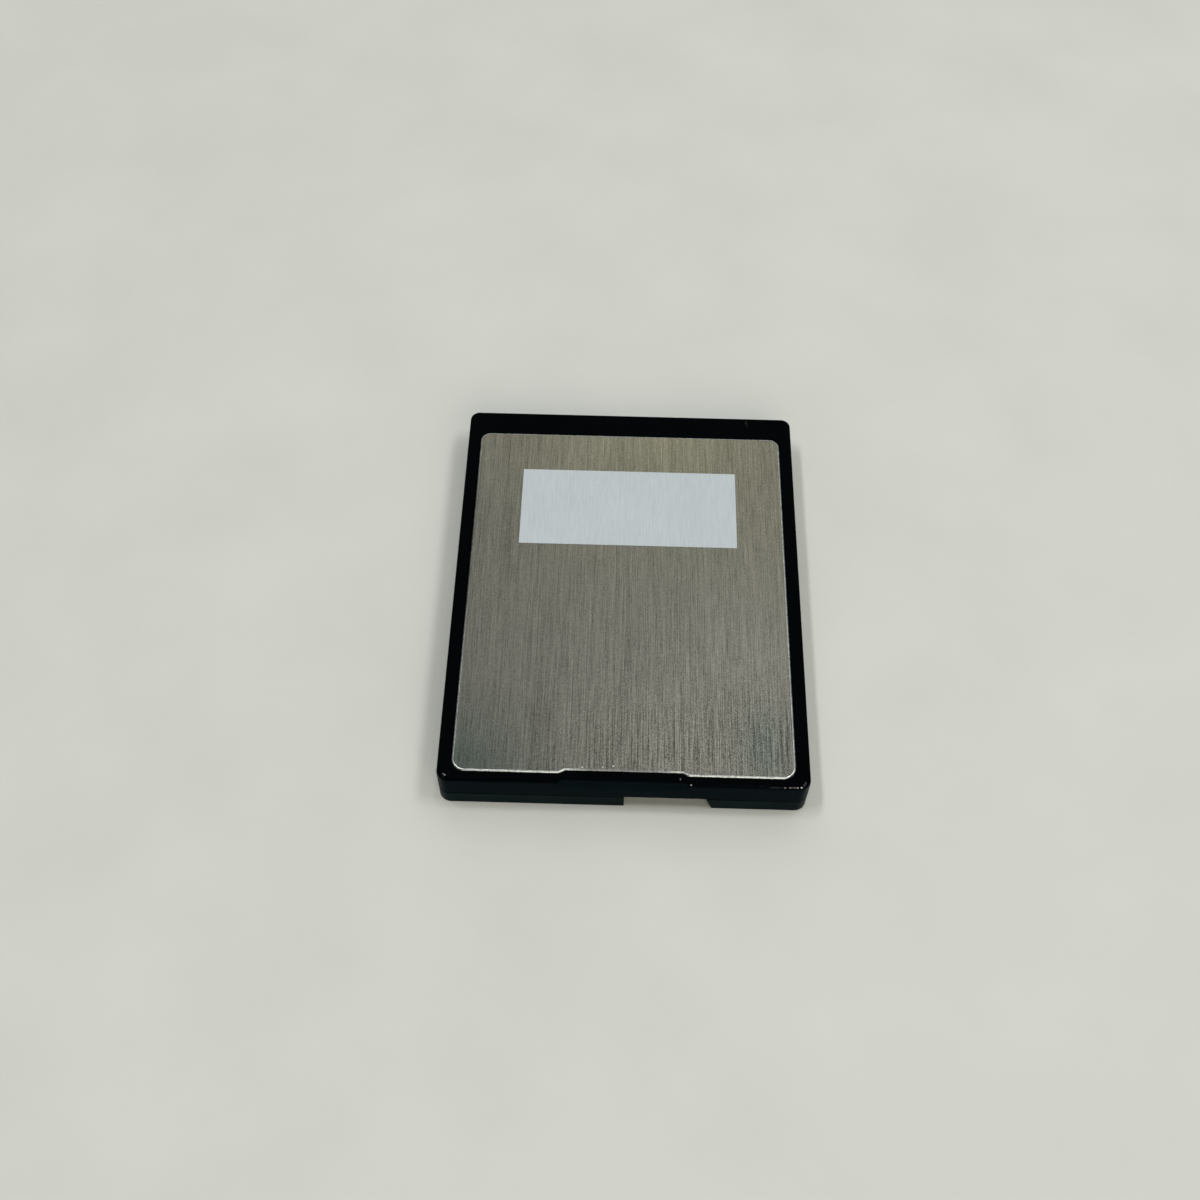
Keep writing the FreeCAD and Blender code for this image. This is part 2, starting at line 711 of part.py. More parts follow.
def check(bodies):
    """Stops if any object failed or any sub-part is empty or not valid."""
    for item in doc.Objects:
        if "Invalid" in item.State or "Error" in item.State:
            raise RuntimeError(f"{item.Label} is {item.State}")
    for body in bodies:
        if body.Shape.isNull() or not body.Shape.isValid() or not body.Shape.Solids:
            raise RuntimeError(f"{body.Label} has no valid solid")


def main():
    """Builds, checks and writes the card."""
    bodies = make_all()
    doc.recompute()
    check(bodies)
    os.makedirs("parts", exist_ok=True)
    for body in bodies:
        body.Shape.exportStep(os.path.join("parts", f"{body.Label}.step"))
        print(f"{body.Label}: {len(body.Shape.Solids)} solids, {body.Shape.Volume:.3f} mm3")


main()
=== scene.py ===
"""Looks of a camera memory card: brushed covers, white panel, moulded frames, floor, light and camera."""
import logging
import math
from dataclasses import dataclass
from enum import Enum
from typing import Iterable, Sequence

import bpy
from mathutils import Color, Matrix, Vector


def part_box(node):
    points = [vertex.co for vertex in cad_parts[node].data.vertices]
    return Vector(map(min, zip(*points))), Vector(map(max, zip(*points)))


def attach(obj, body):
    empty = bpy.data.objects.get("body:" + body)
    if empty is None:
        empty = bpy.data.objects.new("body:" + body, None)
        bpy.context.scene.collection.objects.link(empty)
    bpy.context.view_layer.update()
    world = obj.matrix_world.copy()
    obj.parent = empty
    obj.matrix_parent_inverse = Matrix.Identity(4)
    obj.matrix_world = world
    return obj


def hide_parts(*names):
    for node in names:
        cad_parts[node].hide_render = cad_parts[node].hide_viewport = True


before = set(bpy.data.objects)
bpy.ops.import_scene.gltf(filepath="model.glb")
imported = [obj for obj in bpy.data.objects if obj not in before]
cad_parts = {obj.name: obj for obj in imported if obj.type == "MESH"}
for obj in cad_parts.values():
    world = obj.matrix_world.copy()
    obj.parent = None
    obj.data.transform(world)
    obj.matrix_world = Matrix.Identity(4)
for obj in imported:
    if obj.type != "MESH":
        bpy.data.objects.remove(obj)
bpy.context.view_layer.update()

LOG = logging.getLogger("card")
BODY = "root"
MM = 0.001

Colour = tuple[float, float, float]
Triple = tuple[float, float, float]
Pair = tuple[float, float]
Socket = bpy.types.NodeSocket
Material = bpy.types.Material

OPAQUE = 1.0
WHITE_LEVEL = 255
HARD_EDGE = 3.0

# Middle of a pattern, and the spans that hold all, most and nearly all of its values
MIDDLE = 0.5
WHOLE: Pair = (0.0, 1.0)
MOST_NOISE: Pair = (0.35, 0.65)
NEARLY_ALL_NOISE: Pair = (0.3, 0.7)

# Height of the back cover's face, and how deep its painted light and shade, its scratch, its worn end and
# its marks reach, in millimetres
COVER_FACE = 3.77
TINT_DEPTH = 4.0
MARK_DEPTH = 1.0


class Slot(str, Enum):
    """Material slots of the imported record."""

    STEEL = "cover_steel"
    PANEL = "panel_white"
    FRAME = "frame_black"
    HOUSING = "housing_black"
    GOLD = "contact_gold"


class Blend(str, Enum):
    """Ways in which one colour goes over another."""

    COVER = "MIX"
    TINT = "MULTIPLY"


@dataclass(frozen=True)
class Grain:
    """Size of a noise pattern in millimetres along each axis, and its octaves of finer noise."""

    size: Triple
    octaves: float = 1.0


@dataclass(frozen=True)
class Patch:
    """A soft-edged place of another colour, in millimetres.

    A core over 1 gives the patch a full middle and a harder edge.
    """

    centre: Triple
    radius: Triple
    colour: Colour
    blend: Blend = Blend.TINT
    core: float = 1.0


def srgb(red: int, green: int, blue: int) -> Colour:
    """Turns a colour as it is seen, 0 to 255, into the linear one that shaders take."""
    seen = Color((red / WHITE_LEVEL, green / WHITE_LEVEL, blue / WHITE_LEVEL))
    return tuple(seen.from_srgb_to_scene_linear())


def face_painted_light_and_scratch(centre: Pair, radius: Pair, colour: Colour, core: float = 1.0) -> Patch:
    """A change of tone on the back cover's face, with its place and reach across and along the card:
    painted reflection, light and shade, and also the one real scratch.
    """
    return Patch((*centre, COVER_FACE), (*radius, TINT_DEPTH), colour, core=core)


def face_mark(centre: Pair, radius: Pair, colour: Colour) -> Patch:
    """A hard-edged mark on the back cover's face, with its place and reach across and along the card."""
    return Patch((*centre, COVER_FACE), (*radius, MARK_DEPTH), colour, Blend.COVER, HARD_EDGE)


def scuff_and_highlight(centre: Triple, radius: Triple, level: int, cool: int = 0) -> Patch:
    """A pale spot in the skin of a moulding, with its grey as seen and how far that leans to blue: a real
    scuff at the far rim, painted glints elsewhere on the rim, and painted sheen on the walls.
    """
    return Patch(centre, radius, srgb(level - cool, level, level + cool), Blend.COVER, HARD_EDGE)


def colour_sockets(sockets: Iterable[Socket]) -> list[Socket]:
    """The colour sockets among a node's inputs or outputs, in their order."""
    return [socket for socket in sockets if socket.type == "RGBA"]


class Shader:
    """A procedural material while its nodes are being laid out."""

    def __init__(self, name: str) -> None:
        """Starts a material with one shader.

        Args:
            name: Name of the material.
        """
        self.material = bpy.data.materials.new(name)
        self.material.use_nodes = True
        self.tree = self.material.node_tree
        self.surface = self.tree.nodes["Principled BSDF"]
        self.place = self.tree.nodes.new("ShaderNodeTexCoord").outputs["Object"]

    def node(self, kind: str, **options: object) -> bpy.types.Node:
        """Adds a node and sets its options.

        Args:
            kind: Blender's name of the node type, after ShaderNode.
            options: Properties of the node.

        Returns:
            The new node.
        """
        made = self.tree.nodes.new("ShaderNode" + kind)
        for option, value in options.items():
            setattr(made, option, value)
        return made

    def feed(self, target: Socket, value: object) -> None:
        """Gives an input a constant, or a wire where the value is another node's output.

        Args:
            target: The input.
            value: A number, a colour or an output.
        """
        if isinstance(value, bpy.types.NodeSocket):
            self.tree.links.new(value, target)
        elif target.type == "RGBA":
            target.default_value = (*value, OPAQUE)
        else:
            target.default_value = value

    def dress(self, **inputs: object) -> None:
        """Feeds the shader's own inputs.

        Args:
            inputs: Input names in lower case, with _ for a space.
        """
        sockets = {socket.name.lower().replace(" ", "_"): socket for socket in self.surface.inputs}
        for key, value in inputs.items():
            self.feed(sockets[key], value)

    def mapped(self, size: Triple, centre: Triple = (0.0, 0.0, 0.0)) -> Socket:
        """Object coordinates about a centre, in steps of a size.

        Args:
            size: Length that counts as one, in millimetres along each axis.
            centre: Place that becomes the origin, in millimetres.

        Returns:
            The mapped coordinates.
        """
        mapping = self.node("Mapping", vector_type="TEXTURE")
        self.feed(mapping.inputs["Vector"], self.place)
        mapping.inputs["Location"].default_value = [value * MM for value in centre]
        mapping.inputs["Scale"].default_value = [value * MM for value in size]
        return mapping.outputs["Vector"]

    def noise(self, grain: Grain) -> Socket:
        """Noise with grains of a size.

        Args:
            grain: Size and octaves of the noise.

        Returns:
            The noise, about 0 to 1.
        """
        made = self.node("TexNoise")
        self.feed(made.inputs["Vector"], self.mapped(grain.size))
        self.feed(made.inputs["Scale"], 1.0)
        self.feed(made.inputs["Detail"], grain.octaves)
        return made.outputs["Fac"]

    def spot(self, centre: Triple, radius: Triple) -> Socket:
        """A soft spot, 1 at its centre and 0 at its rim.

        Args:
            centre: Centre in millimetres.
            radius: Radius in millimetres along each axis.

        Returns:
            The strength of the spot.
        """
        made = self.node("TexGradient", gradient_type="QUADRATIC_SPHERE")
        self.feed(made.inputs["Vector"], self.mapped(radius, centre))
        return made.outputs["Fac"]

    def spread(self, value: Socket, source: Pair, target: Pair) -> Socket:
        """Maps a range of numbers to another, clamped.

        Args:
            value: The number.
            source: Low and high end of the range it has.
            target: Low and high end of the range it gets.

        Returns:
            The mapped number.
        """
        made = self.node("MapRange")
        for key, number in zip(("From Min", "From Max", "To Min", "To Max"), (*source, *target)):
            self.feed(made.inputs[key], number)
        self.feed(made.inputs["Value"], value)
        return made.outputs["Result"]

    def scaled_sum(self, value: Socket, factor: object, rest: object, clamp: bool = False) -> Socket:
        """Multiplies a number by another and adds a third.

        Args:
            value: The number.
            factor: What it is multiplied by.
            rest: What is added.
            clamp: Whether the result is kept between 0 and 1.

        Returns:
            The result.
        """
        made = self.node("Math", operation="MULTIPLY_ADD", use_clamp=clamp)
        for target, given in zip(made.inputs, (value, factor, rest)):
            self.feed(target, given)
        return made.outputs["Value"]

    def weigh(self, patterns: Sequence[Socket], weights: Sequence[float]) -> Socket:
        """Adds patterns, each with a weight.

        Args:
            patterns: The patterns.
            weights: Weight of each pattern.

        Returns:
            The weighted sum.
        """
        total: object = 0.0
        for pattern, weight in zip(patterns, weights):
            total = self.scaled_sum(pattern, weight, total)
        return total

    def swing(self, pattern: Socket, contrast: Socket) -> Socket:
        """Stretches a pattern about its middle by a contrast that differs from place to place."""
        lowered = self.scaled_sum(pattern, 1.0, -MIDDLE)
        return self.scaled_sum(lowered, contrast, MIDDLE, clamp=True)

    def blend(self, share: Socket, first: object, second: object, mode: Blend = Blend.COVER) -> Socket:
        """Blends two colours.

        Args:
            share: Share of the second colour.
            first: First colour.
            second: Second colour.
            mode: How the second colour goes over the first.

        Returns:
            The blended colour.
        """
        made = self.node("Mix", data_type="RGBA", blend_type=mode.value)
        self.feed(made.inputs["Factor"], share)
        for target, colour in zip(colour_sockets(made.inputs), (first, second)):
            self.feed(target, colour)
        return colour_sockets(made.outputs)[0]

    def shade(self, pattern: Socket, span: Pair, dark: Colour, light: Colour) -> Socket:
        """A colour that goes from dark to light while a pattern goes through a span."""
        return self.blend(self.spread(pattern, span, WHOLE), dark, light)

    def patched(self, colour: Socket, patches: Sequence[Patch]) -> Socket:
        """Lays patches over a colour, one after another.

        Args:
            colour: Colour of the surface.
            patches: The patches.

        Returns:
            The patched colour.
        """
        for patch in patches:
            spot = self.spot(patch.centre, patch.radius)
            share = self.spread(spot, (0.0, 1.0 / patch.core), WHOLE)
            colour = self.blend(share, colour, patch.colour, patch.blend)
        return colour

    def relief(self, height: Socket, depth: float, strength: float = 1.0) -> None:
        """Gives the surface fine relief.

        Args:
            height: Height pattern, 0 to 1.
            depth: Height of the pattern in millimetres.
            strength: Share of the relief that shows.
        """
        made = self.node("Bump")
        self.feed(made.inputs["Strength"], strength)
        self.feed(made.inputs["Distance"], depth * MM)
        self.feed(made.inputs["Height"], height)
        self.feed(self.surface.inputs["Normal"], made.outputs["Normal"])


@dataclass(frozen=True)
class BrushedSteel:
    """Sheet steel brushed along the card: hairlines, grain, broad changes of tone that are painted
    reflection, light and shade, a scratch and a few marks.

    The weights are those of hair, long_hair, band and grain. The contrast grows towards the worn end.
    """

    name: str = "brushed_steel"
    dark: Colour = srgb(64, 64, 58)
    light: Colour = srgb(135, 134, 125)
    hair: Grain = Grain((0.07, 2.4, 3.0))
    long_hair: Grain = Grain((0.075, 10.0, 3.0))
    band: Grain = Grain((1.6, 24.0, 3.0), octaves=3.0)
    grain: Grain = Grain((0.08, 0.09, 0.3))
    weights: tuple[float, ...] = (0.28, 0.28, 0.05, 0.39)
    worn_middle: Pair = (14.0, -22.0)
    worn_reach: Pair = (40.0, 20.0)
    worn_full: float = 0.4
    contrast: Pair = (2.25, 4.9)
    gloss: Pair = (0.46, 0.34)
    depth: float = 0.006
    depth_share: float = 0.4
    patches: tuple[Patch, ...] = (
        # Painted reflection: a warm glow over the far part of the face
        face_painted_light_and_scratch((3.0, 19.0), (34.0, 28.0), (1.86, 1.83, 1.5)),
        # Painted light: the right part lighter
        face_painted_light_and_scratch((15.0, -1.0), (13.0, 24.0), (1.3, 1.29, 1.27)),
        # Painted light: the middle lighter
        face_painted_light_and_scratch((2.0, -6.0), (18.0, 19.0), (1.15, 1.15, 1.16), core=2.0),
        # Painted shade: the left part darker
        face_painted_light_and_scratch((-14.0, 7.0), (10.0, 9.0), (0.88, 0.89, 0.92)),
        # Painted reflection and shade: the near left corner darker and greener
        face_painted_light_and_scratch((-14.0, -19.0), (13.0, 14.0), (0.54, 0.64, 0.66), core=1.6),
        # Painted light: the near right part lighter
        face_painted_light_and_scratch((9.0, -12.0), (16.0, 18.0), (1.17, 1.17, 1.17), core=2.0),
        # Painted reflection and shade: a darker, greener place near the right corner
        face_painted_light_and_scratch((11.4, -15.8), (4.0, 8.0), (0.76, 0.86, 0.87), core=1.5),
        # The steel's own marks from here on: a scratch and three pale specks
        face_painted_light_and_scratch((-11.0, 13.6), (0.12, 4.0), (0.62, 0.62, 0.62), core=1.6),
        face_mark((-3.3, -17.78), (0.12, 0.09), srgb(205, 204, 197)),
        face_mark((-1.68, -17.74), (0.1, 0.1), srgb(185, 184, 177)),
        face_mark((-0.82, -17.61), (0.13, 0.1), srgb(200, 199, 192)),
    )

    def material(self) -> Material:
        """Lays out the nodes of the finish.

        Returns:
            The material.
        """
        shader = Shader(self.name)
        kinds = (self.hair, self.long_hair, self.band, self.grain)
        streak = shader.weigh([shader.noise(kind) for kind in kinds], self.weights)
        worn = shader.spot((*self.worn_middle, COVER_FACE), (*self.worn_reach, TINT_DEPTH))
        contrast = shader.spread(worn, (0.0, self.worn_full), self.contrast)
        colour = shader.blend(shader.swing(streak, contrast), self.dark, self.light)
        shader.dress(
            base_color=shader.patched(colour, self.patches),
            metallic=1.0,
            roughness=shader.spread(streak, NEARLY_ALL_NOISE, self.gloss),
        )
        shader.relief(streak, self.depth, self.depth_share)
        return shader.material


@dataclass(frozen=True)
class BrightEdge:
    """Sheared edge of the steel sheet, brighter than its face: partly bare cut metal, partly a painted
    highlight, with painted shade where it runs behind the lip and along the left side.
    """

    name: str = "bright_edge"
    dark: Colour = srgb(162, 166, 164)
    light: Colour = srgb(218, 224, 225)
    grain: Grain = Grain((0.25, 0.25, 0.25), octaves=3.0)
    gloss: Pair = (0.28, 0.45)
    depth: float = 0.002
    patches: tuple[Patch, ...] = (
        # Painted shade: the edge duller behind the lip
        Patch((0.0, -18.08, 3.7), (5.6, 0.9, 1.0), (0.42, 0.42, 0.42), core=4.0),
        # Painted shade: the left edge duller
        Patch((-14.0, 4.0, 3.7), (0.9, 19.0, 1.0), (0.42, 0.42, 0.4), core=4.0),
    )

    def material(self) -> Material:
        """Lays out the nodes of the finish.

        Returns:
            The material.
        """
        shader = Shader(self.name)
        grain = shader.noise(self.grain)
        colour = shader.shade(grain, MOST_NOISE, self.dark, self.light)
        shader.dress(
            base_color=shader.patched(colour, self.patches),
            metallic=1.0,
            roughness=shader.spread(grain, NEARLY_ALL_NOISE, self.gloss),
        )
        shader.relief(grain, self.depth)
        return shader.material


@dataclass(frozen=True)
class WhitePrint:
    """Matt white print that lets the brushing under it show.

    The weights are those of hair, grain and cloud.
    """

    name: str = "white_print"
    dark: Colour = srgb(176, 185, 190)
    light: Colour = srgb(190, 198, 203)
    hair: Grain = Grain((0.085, 2.0, 3.0))
    grain: Grain = Grain((0.085, 0.12, 0.3))
    cloud: Grain = Grain((4.0, 5.0, 3.0), octaves=2.0)
    weights: tuple[float, ...] = (0.5, 0.3, 0.2)
    gloss: Pair = (0.6, 0.5)
    specular: float = 0.25
    depth: float = 0.004
    depth_share: float = 0.5

    def material(self) -> Material:
        """Lays out the nodes of the finish.

        Returns:
            The material.
        """
        shader = Shader(self.name)
        hair = shader.noise(self.hair)
        patterns = (hair, shader.noise(self.grain), shader.noise(self.cloud))
        tone = shader.weigh(patterns, self.weights)
        shader.dress(
            base_color=shader.shade(tone, MOST_NOISE, self.dark, self.light),
            roughness=shader.spread(hair, NEARLY_ALL_NOISE, self.gloss),
            specular_ior_level=self.specular,
        )
        shader.relief(hair, self.depth, self.depth_share)
        return shader.material


@dataclass(frozen=True)
class Moulding:
    """Moulded plastic with a fine skin and slight changes of tone."""

    name: str
    dark: Colour
    light: Colour
    gloss: Pair
    specular: float
    patches: tuple[Patch, ...] = ()
    skin: Grain = Grain((0.06, 0.06, 0.06), octaves=2.0)
    cloud: Grain = Grain((3.0, 3.0, 3.0), octaves=3.0)
    weights: Pair = (0.5, 0.5)
    depth: float = 0.002

    def material(self) -> Material:
        """Lays out the nodes of the finish.

        Returns:
            The material.
        """
        shader = Shader(self.name)
        skin = shader.noise(self.skin)
        mottle = shader.weigh((skin, shader.noise(self.cloud)), self.weights)
        colour = shader.shade(mottle, MOST_NOISE, self.dark, self.light)
        shader.dress(
            base_color=shader.patched(colour, self.patches),
            roughness=shader.spread(mottle, MOST_NOISE, self.gloss),
            specular_ior_level=self.specular,
        )
        shader.relief(skin, self.depth)
        return shader.material


@dataclass(frozen=True)
class Metal:
    """Plain worked metal, such as plating or a drawn can."""

    name: str
    dark: Colour
    light: Colour
    gloss: Pair = (0.2, 0.34)
    grain: Grain = Grain((0.08, 0.3, 0.08), octaves=3.0)
    depth: float = 0.002

    def material(self) -> Material:
        """Lays out the nodes of the finish.

        Returns:
            The material.
        """
        shader = Shader(self.name)
        grain = shader.noise(self.grain)
        shader.dress(
            base_color=shader.shade(grain, NEARLY_ALL_NOISE, self.dark, self.light),
            metallic=1.0,
            roughness=shader.spread(grain, NEARLY_ALL_NOISE, self.gloss),
        )
        shader.relief(grain, self.depth)
        return shader.material


@dataclass(frozen=True)
class FloorPaper:
    """Plain pale paper of the floor."""

    name: str = "floor_paper"
    dark: Colour = srgb(203, 205, 200)
    light: Colour = srgb(208, 210, 205)
    grain: Grain = Grain((14.0, 14.0, 14.0), octaves=4.0)
    roughness: float = 0.8
    specular: float = 0.1

    def material(self) -> Material:
        """Lays out the nodes of the finish.

        Returns:
            The material.
        """
        shader = Shader(self.name)
        shader.dress(
            base_color=shader.shade(shader.noise(self.grain), NEARLY_ALL_NOISE, self.dark, self.light),
            roughness=self.roughness,
            specular_ior_level=self.specular,
        )
        return shader.material


def deselect() -> None:
    """Leaves edit mode and selects nothing."""
    if bpy.context.object and bpy.context.object.mode != "OBJECT":
        bpy.ops.object.mode_set(mode="OBJECT")
    bpy.ops.object.select_all(action="DESELECT")


def work_on(piece: bpy.types.Object) -> None:
    """Makes one object the only selected and active one.

    Args:
        piece: The object to work on.
    """
    deselect()
    piece.select_set(True)
    bpy.context.view_layer.objects.active = piece


def scale_mesh(piece: bpy.types.Object, factor: float) -> None:
    """Scales a piece's mesh about the origin, so that edge tools work in millimetres."""
    piece.data.transform(Matrix.Diagonal((factor, factor, factor)).to_4x4())


def dress_by_slope(piece: bpy.types.Object, level: Material, steep: Material, limit: float) -> None:
    """Gives a piece's level faces one finish and its steep faces another.

    Args:
        piece: The piece.
        level: Finish of the level faces.
        steep: Finish of the steep faces.
        limit: Upright part of a normal below which its face is steep.
    """
    for material in (level, steep):
        piece.data.materials.append(material)
    for face in piece.data.polygons:
        face.material_index = int(abs(face.normal.z) < limit)


@dataclass
class Piece:
    """A visible piece that stands for a CAD node, with lengths in millimetres and angles in degrees."""

    node: str
    name: str
    slot: Slot
    bevel: float = 0.0
    bevel_steps: int = 2
    bevel_angle: float = 40.0
    smooth_angle: float = 32.0
    merge: float = 0.0005
    flat_angle: float = 0.3

    def build(self) -> bpy.types.Object:
        """Copies the node, joins its triangles into faces and breaks its sharp edges.

        Returns:
            The finished mesh, still without a material.
        """
        piece = bpy.data.objects.new(self.name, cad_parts[self.node].data.copy())
        bpy.context.scene.collection.objects.link(piece)
        piece.data.materials.clear()
        scale_mesh(piece, 1 / MM)
        work_on(piece)
        bpy.ops.mesh.customdata_custom_splitnormals_clear()
        self.join_faces()
        if self.bevel:
            self.break_edges(piece)
            self.drop_slivers()
        scale_mesh(piece, MM)
        bpy.ops.object.shade_smooth_by_angle(angle=math.radians(self.smooth_angle))
        level = piece.modifiers.new("level_faces", "WEIGHTED_NORMAL")
        level.keep_sharp = True
        bpy.ops.object.modifier_apply(modifier=level.name)
        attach(piece, BODY)
        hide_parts(self.node)
        LOG.info("%s stands for %s, %d faces", self.name, self.node, len(piece.data.polygons))
        return piece

    def join_faces(self) -> None:
        """Joins the active mesh's loose triangles into flat faces."""
        bpy.ops.object.mode_set(mode="EDIT")
        bpy.ops.mesh.select_all(action="SELECT")
        bpy.ops.mesh.remove_doubles(threshold=self.merge)
        bpy.ops.mesh.dissolve_limited(angle_limit=math.radians(self.flat_angle))
        bpy.ops.object.mode_set(mode="OBJECT")

    def drop_slivers(self) -> None:
        """Drops the faces without size that rounding leaves in the active mesh."""
        bpy.ops.object.mode_set(mode="EDIT")
        bpy.ops.mesh.select_all(action="SELECT")
        bpy.ops.mesh.remove_doubles(threshold=self.merge)
        bpy.ops.mesh.dissolve_degenerate(threshold=self.merge)
        bpy.ops.object.mode_set(mode="OBJECT")

    def break_edges(self, piece: bpy.types.Object) -> None:
        """Rounds the sharp edges slightly, as moulding and stamping do.

        Args:
            piece: The piece, in millimetres and active.
        """
        edge = piece.modifiers.new("broken_edges", "BEVEL")
        edge.width = self.bevel
        edge.segments = self.bevel_steps
        edge.limit_method = "ANGLE"
        edge.angle_limit = math.radians(self.bevel_angle)
        edge.miter_outer = "MITER_ARC"
        edge.use_clamp_overlap = False
        bpy.ops.object.modifier_apply(modifier=edge.name)


@dataclass
class PartedPiece(Piece):
    """A moulding whose upper outer edge is bevelled, so that the joint above it shows as a fine line."""

    bevel_angle: float = 50.0
    corner: float = 1.0
    joint_bevel: float = 0.08
    joint_steps: int = 1
    joint_reach: float = 0.1
    joint_play: float = 0.001

    def on_joint(self, place: Vector, low: Vector, high: Vector) -> bool:
        """Tells whether a place lies on the upper outer edge.

        Args:
            place: The place in millimetres.
            low: Lowest corner of the moulding in millimetres.
            high: Highest corner of the moulding in millimetres.

        Returns:
            True at the top and close to the outline with its round corners.
        """
        away = place - (low + high) / 2
        half = (high - low) / 2
        past = [max(abs(away[axis]) - half[axis] + self.corner, 0.0) for axis in (0, 1)]
        inset = self.corner - math.hypot(*past)
        return high.z - place.z < self.joint_play and inset < self.joint_reach

    def break_edges(self, piece: bpy.types.Object) -> None:
        """Bevels the joint's edge first, and then rounds the sharp edges.

        Args:
            piece: The piece, in millimetres and active.
        """
        bpy.ops.object.mode_set(mode="EDIT")
        bpy.ops.mesh.select_mode(type="EDGE")
        bpy.ops.mesh.select_all(action="DESELECT")
        bpy.ops.object.mode_set(mode="OBJECT")
        low, high = (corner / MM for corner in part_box(self.node))
        joint = [self.on_joint(vertex.co, low, high) for vertex in piece.data.vertices]
        for edge in piece.data.edges:
            edge.select = all(joint[end] for end in edge.vertices)
        bpy.ops.object.mode_set(mode="EDIT")
        bpy.ops.mesh.bevel(
            offset=self.joint_bevel, segments=self.joint_steps, affect="EDGES", clamp_overlap=False
        )
        bpy.ops.object.mode_set(mode="OBJECT")
        super().break_edges(piece)


@dataclass
class Covers:
    """The two steel sheets and the white panel."""

    steel: BrushedSteel = BrushedSteel()
    edge: BrightEdge = BrightEdge()
    white: WhitePrint = WhitePrint()
    level: float = 0.985
    print_edge: float = 0.012

    def build(self) -> None:
        """Builds and dresses the sheets and the panel."""
        steel = self.steel.material()
        edge = self.edge.material()
        for node in ("back_cover", "front_cover"):
            sheet = Piece(node, node + "_sheet", Slot.STEEL).build()
            dress_by_slope(sheet, steel, edge, self.level)
        panel = Piece("write_on_panel", "write_on_print", Slot.PANEL, bevel=self.print_edge).build()
        panel.data.materials.append(self.white.material())


@dataclass
class Frames:
    """The two black mouldings: a glossy rim with a real scuff and painted glints, and satin walls with
    painted sheen at the near corners.
    """

    rim: Moulding = Moulding(
        name="glossy_rim",
        dark=srgb(0, 1, 3),
        light=srgb(1, 4, 6),
        gloss=(0.07, 0.13),
        specular=0.012,
        patches=(
            # A real nick on the far right rim
            scuff_and_highlight((10.79, 18.68, 3.75), (0.14, 0.3, 0.4), 37),
            scuff_and_highlight((10.87, 18.35, 3.75), (0.15, 0.3, 0.4), 22),
            # Painted glints: the near left corner
            scuff_and_highlight((-14.31, -18.66, 3.64), (0.09, 0.07, 0.3), 130),
            scuff_and_highlight((-14.17, -18.75, 3.64), (0.1, 0.08, 0.3), 180),
            # Painted glints: the lip's right end
            scuff_and_highlight((4.51, -18.63, 3.7), (0.06, 0.16, 0.4), 115),
            scuff_and_highlight((5.36, -19.07, 3.7), (0.09, 0.08, 0.3), 165),
            # Painted glints: dashes along the near right edge, and its corner
            scuff_and_highlight((12.05, -19.1, 3.69), (0.8, 0.045, 0.3), 48),
            scuff_and_highlight((12.79, -19.09, 3.69), (0.14, 0.06, 0.3), 125),
            scuff_and_highlight((13.2, -19.08, 3.69), (0.12, 0.06, 0.3), 145),
            scuff_and_highlight((13.52, -19.07, 3.69), (0.3, 0.05, 0.3), 105),
            scuff_and_highlight((13.78, -19.07, 3.69), (0.11, 0.06, 0.3), 175),
            scuff_and_highlight((14.09, -19.04, 3.69), (0.11, 0.08, 0.3), 205),
            scuff_and_highlight((14.31, -18.83, 3.69), (0.1, 0.14, 0.3), 72),
            scuff_and_highlight((14.43, -18.65, 3.69), (0.1, 0.16, 0.3), 70),
        ),
    )
    # The walls are lighter than the level rim, partly painted reflection of the lit floor in the sides;
    # the lower wall is a little lighter than the upper one
    upper_wall: Moulding = Moulding(
        name="satin_upper_wall",
        dark=srgb(6, 15, 20),
        light=srgb(11, 21, 26),
        gloss=(0.34, 0.44),
        specular=0.005,
        patches=(
            # Painted sheen: the near corners
            scuff_and_highlight((14.9, -18.5, 2.5), (1.2, 1.2, 6.0), 60, cool=4),
            scuff_and_highlight((-14.9, -18.5, 2.5), (1.2, 1.2, 6.0), 54, cool=4),
        ),
    )
    lower_wall: Moulding = Moulding(
        name="satin_lower_wall",
        dark=srgb(15, 25, 28),
        light=srgb(22, 32, 35),
        gloss=(0.34, 0.44),
        specular=0.005,
        patches=(
            # Painted sheen: the near corners
            scuff_and_highlight((14.9, -18.5, 0.8), (1.2, 1.2, 6.0), 64, cool=4),
            scuff_and_highlight((-14.9, -18.5, 0.8), (1.2, 1.2, 6.0), 60, cool=4),
        ),
    )
    broken_edge: float = 0.02
    wall_slope: float = 0.5

    def build(self) -> None:
        """Builds and dresses the upper and the lower frame."""
        rim = self.rim.material()
        upper = Piece("upper_frame", "upper_frame_moulding", Slot.FRAME)
        lower = PartedPiece("lower_frame", "lower_frame_moulding", Slot.FRAME, bevel=self.broken_edge)
        for piece, wall in ((upper, self.upper_wall), (lower, self.lower_wall)):
            dress_by_slope(piece.build(), rim, wall.material(), self.wall_slope)


@dataclass
class Connector:
    """Housing and spring contacts at the insertion end."""

    plastic: Moulding = Moulding(
        name="connector_plastic",
        dark=srgb(28, 28, 30),
        light=srgb(38, 38, 40),
        gloss=(0.42, 0.55),
        specular=0.3,
    )
    plating: Metal = Metal(name="gold_plating", dark=srgb(206, 158, 82), light=srgb(240, 205, 128))
    broken_edge: float = 0.03

    def build(self) -> None:
        """Builds and dresses the housing and the contacts."""
        housing = Piece("connector_housing", "connector_body", Slot.HOUSING, bevel=self.broken_edge)
        housing.build().data.materials.append(self.plastic.material())
        plating = self.plating.material()
        for node in ("power_contacts", "data_contacts"):
            Piece(node, node + "_plated", Slot.GOLD).build().data.materials.append(plating)


